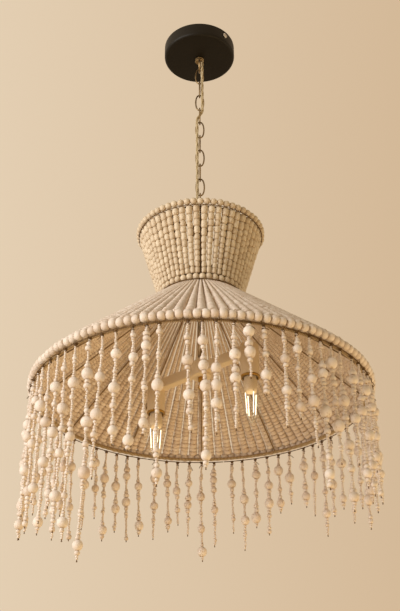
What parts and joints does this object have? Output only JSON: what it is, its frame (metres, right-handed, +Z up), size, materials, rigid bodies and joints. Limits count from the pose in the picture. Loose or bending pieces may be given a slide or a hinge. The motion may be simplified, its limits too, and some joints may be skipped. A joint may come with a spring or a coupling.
{
  "type": "beaded chandelier",
  "caption": "Hanging ceiling light: a waisted wire shade dressed with strings of turned wooden beads and a long hanging bead fringe, on a chain with a flex, with candle bulbs inside.",
  "frame": {"origin": "on the ceiling, at the middle of the top face of the mounting bar", "axes": "+Z up into the ceiling, -Y towards the viewer of the picture, +X to the viewer's right"},
  "size_m": [0.4896, 0.4896, 0.9545],
  "materials": {
    "canopy_black": "fine matt black powder coat",
    "plated_steel": "zinc plated",
    "aged_brass": "aged, brushed",
    "bright_brass": "polished, warm",
    "flex_cloth": "twisted cloth cover",
    "frame_wire": "dark brown wire",
    "wood_beads": "white-washed turned wood, satin",
    "cluster_cream": "cream, satin",
    "terminal_plastic": "moulded",
    "bulb_glass": "clear",
    "filament_glow": "glowing strips",
    "bulb_cap_metal": "rolled thread"
  },
  "bodies": {
    "ceiling": {"canopy": "canopy_black", "mounting_bar": "plated_steel", "side_screw_right": "plated_steel", "side_screw_left": "plated_steel", "terminal_block": "terminal_plastic", "canopy_loop": "aged_brass", "canopy_nut": "plated_steel"},
    "upper_link": {"chain_link_01": "aged_brass"},
    "chain": {"chain_link_02": "aged_brass", "chain_link_03": "aged_brass", "chain_link_04": "aged_brass", "chain_link_05": "aged_brass", "chain_link_06": "aged_brass", "chain_link_07": "aged_brass", "chain_link_08": "aged_brass", "chain_link_09": "aged_brass", "flex": "flex_cloth"},
    "lower_link": {"chain_link_10": "aged_brass"},
    "eye": {"hub_eye": "aged_brass"},
    "shade": {"stem": "aged_brass", "spider_nut": "aged_brass", "shade_frame": "frame_wire", "crown_beads": "wood_beads", "waist_beads": "wood_beads", "brim_beads": "wood_beads", "crown_strings_1": "wood_beads", "crown_strings_2": "wood_beads", "crown_strings_3": "wood_beads", "crown_strings_4": "wood_beads", "cone_strings_1": "wood_beads", "cone_strings_2": "wood_beads", "cone_strings_3": "wood_beads", "cone_strings_4": "wood_beads", "cone_strings_5": "wood_beads", "cone_strings_6": "wood_beads", "cluster_cap": "cluster_cream", "cluster_body": "cluster_cream", "finial": "bright_brass", "arm_right": "cluster_cream", "arm_left": "cluster_cream", "socket_rim_right": "bright_brass", "socket_rim_left": "bright_brass"},
    "lamp_right": {"bulb_right": "bulb_glass", "filament_right": "filament_glow", "bulb_cap_right": "bulb_cap_metal"},
    "lamp_left": {"bulb_left": "bulb_glass", "filament_left": "filament_glow", "bulb_cap_left": "bulb_cap_metal"},
    "fringe_part_01": {"fringe_01": "wood_beads"},
    "fringe_part_02": {"fringe_02": "wood_beads"},
    "fringe_part_03": {"fringe_03": "wood_beads"},
    "fringe_part_04": {"fringe_04": "wood_beads"},
    "fringe_part_05": {"fringe_05": "wood_beads"},
    "fringe_part_06": {"fringe_06": "wood_beads"},
    "fringe_part_07": {"fringe_07": "wood_beads"},
    "fringe_part_08": {"fringe_08": "wood_beads"},
    "fringe_part_09": {"fringe_09": "wood_beads"},
    "fringe_part_10": {"fringe_10": "wood_beads"},
    "fringe_part_11": {"fringe_11": "wood_beads"},
    "fringe_part_12": {"fringe_12": "wood_beads"}
  },
  "joints": [
    {"name": "chain_swing_side", "type": "hinge", "parent": "ceiling", "child": "upper_link", "pos_m": [0, 0, -0.0517], "axis": [0, 1, 0], "range_deg": [-15, 15]},
    {"name": "chain_swing_front", "type": "hinge", "parent": "upper_link", "child": "chain", "pos_m": [0, 0, -0.0805], "axis": [1, 0, 0], "range_deg": [-15, 15]},
    {"name": "shade_tilt_front", "type": "hinge", "parent": "chain", "child": "lower_link", "pos_m": [0, 0, -0.3141], "axis": [1, 0, 0], "range_deg": [-10, 10], "deforming": ["flex"]},
    {"name": "shade_tilt_side", "type": "hinge", "parent": "lower_link", "child": "eye", "pos_m": [0, 0, -0.3433], "axis": [0, 1, 0], "range_deg": [-10, 10]},
    {"name": "shade_turn", "type": "hinge", "parent": "eye", "child": "shade", "pos_m": [0, 0, -0.372], "axis": [0, 0, 1], "range_deg": [-45, 45]},
    {"name": "bulb_right_turn", "type": "hinge", "parent": "shade", "child": "lamp_right", "pos_m": [0.06688, -0.06022, -0.66], "axis": [0, 0, 1], "range_deg": [-180, 0]},
    {"name": "bulb_left_turn", "type": "hinge", "parent": "shade", "child": "lamp_left", "pos_m": [-0.06688, 0.06022, -0.66], "axis": [0, 0, 1], "range_deg": [-180, 0]},
    {"name": "fringe_01_sway", "type": "hinge", "parent": "shade", "child": "fringe_part_01", "pos_m": [0.02684, -0.23554, -0.6715], "axis": [0.9936, 0.1132, 0], "range_deg": [-5, 5]},
    {"name": "fringe_02_sway", "type": "hinge", "parent": "shade", "child": "fringe_part_02", "pos_m": [0.14079, -0.19026, -0.6715], "axis": [0.8039, 0.5948, 0], "range_deg": [-5, 5]},
    {"name": "fringe_03_sway", "type": "hinge", "parent": "shade", "child": "fringe_part_03", "pos_m": [0.21707, -0.09438, -0.6715], "axis": [0.3987, 0.9171, 0], "range_deg": [-5, 5]},
    {"name": "fringe_04_sway", "type": "hinge", "parent": "shade", "child": "fringe_part_04", "pos_m": [0.23513, 0.02679, -0.6715], "axis": [-0.1132, 0.9936, 0], "range_deg": [-5, 5]},
    {"name": "fringe_05_sway", "type": "hinge", "parent": "shade", "child": "fringe_part_05", "pos_m": [0.19027, 0.14079, -0.6715], "axis": [-0.5948, 0.8039, 0], "range_deg": [-5, 5]},
    {"name": "fringe_06_sway", "type": "hinge", "parent": "shade", "child": "fringe_part_06", "pos_m": [0.09439, 0.21708, -0.6715], "axis": [-0.9171, 0.3987, 0], "range_deg": [-5, 5]},
    {"name": "fringe_07_sway", "type": "hinge", "parent": "shade", "child": "fringe_part_07", "pos_m": [-0.02679, 0.23514, -0.6715], "axis": [-0.9936, -0.1132, 0], "range_deg": [-5, 5]},
    {"name": "fringe_08_sway", "type": "hinge", "parent": "shade", "child": "fringe_part_08", "pos_m": [-0.14084, 0.19033, -0.6715], "axis": [-0.8039, -0.5948, 0], "range_deg": [-5, 5]},
    {"name": "fringe_09_sway", "type": "hinge", "parent": "shade", "child": "fringe_part_09", "pos_m": [-0.21705, 0.09438, -0.6715], "axis": [-0.3987, -0.9171, 0], "range_deg": [-5, 5]},
    {"name": "fringe_10_sway", "type": "hinge", "parent": "shade", "child": "fringe_part_10", "pos_m": [-0.23518, -0.02679, -0.6715], "axis": [0.1132, -0.9936, 0], "range_deg": [-5, 5]},
    {"name": "fringe_11_sway", "type": "hinge", "parent": "shade", "child": "fringe_part_11", "pos_m": [-0.19015, -0.1407, -0.6715], "axis": [0.5948, -0.8039, 0], "range_deg": [-5, 5]},
    {"name": "fringe_12_sway", "type": "hinge", "parent": "shade", "child": "fringe_part_12", "pos_m": [-0.09419, -0.21661, -0.6715], "axis": [0.9171, -0.3987, 0], "range_deg": [-5, 5]}
  ]
}
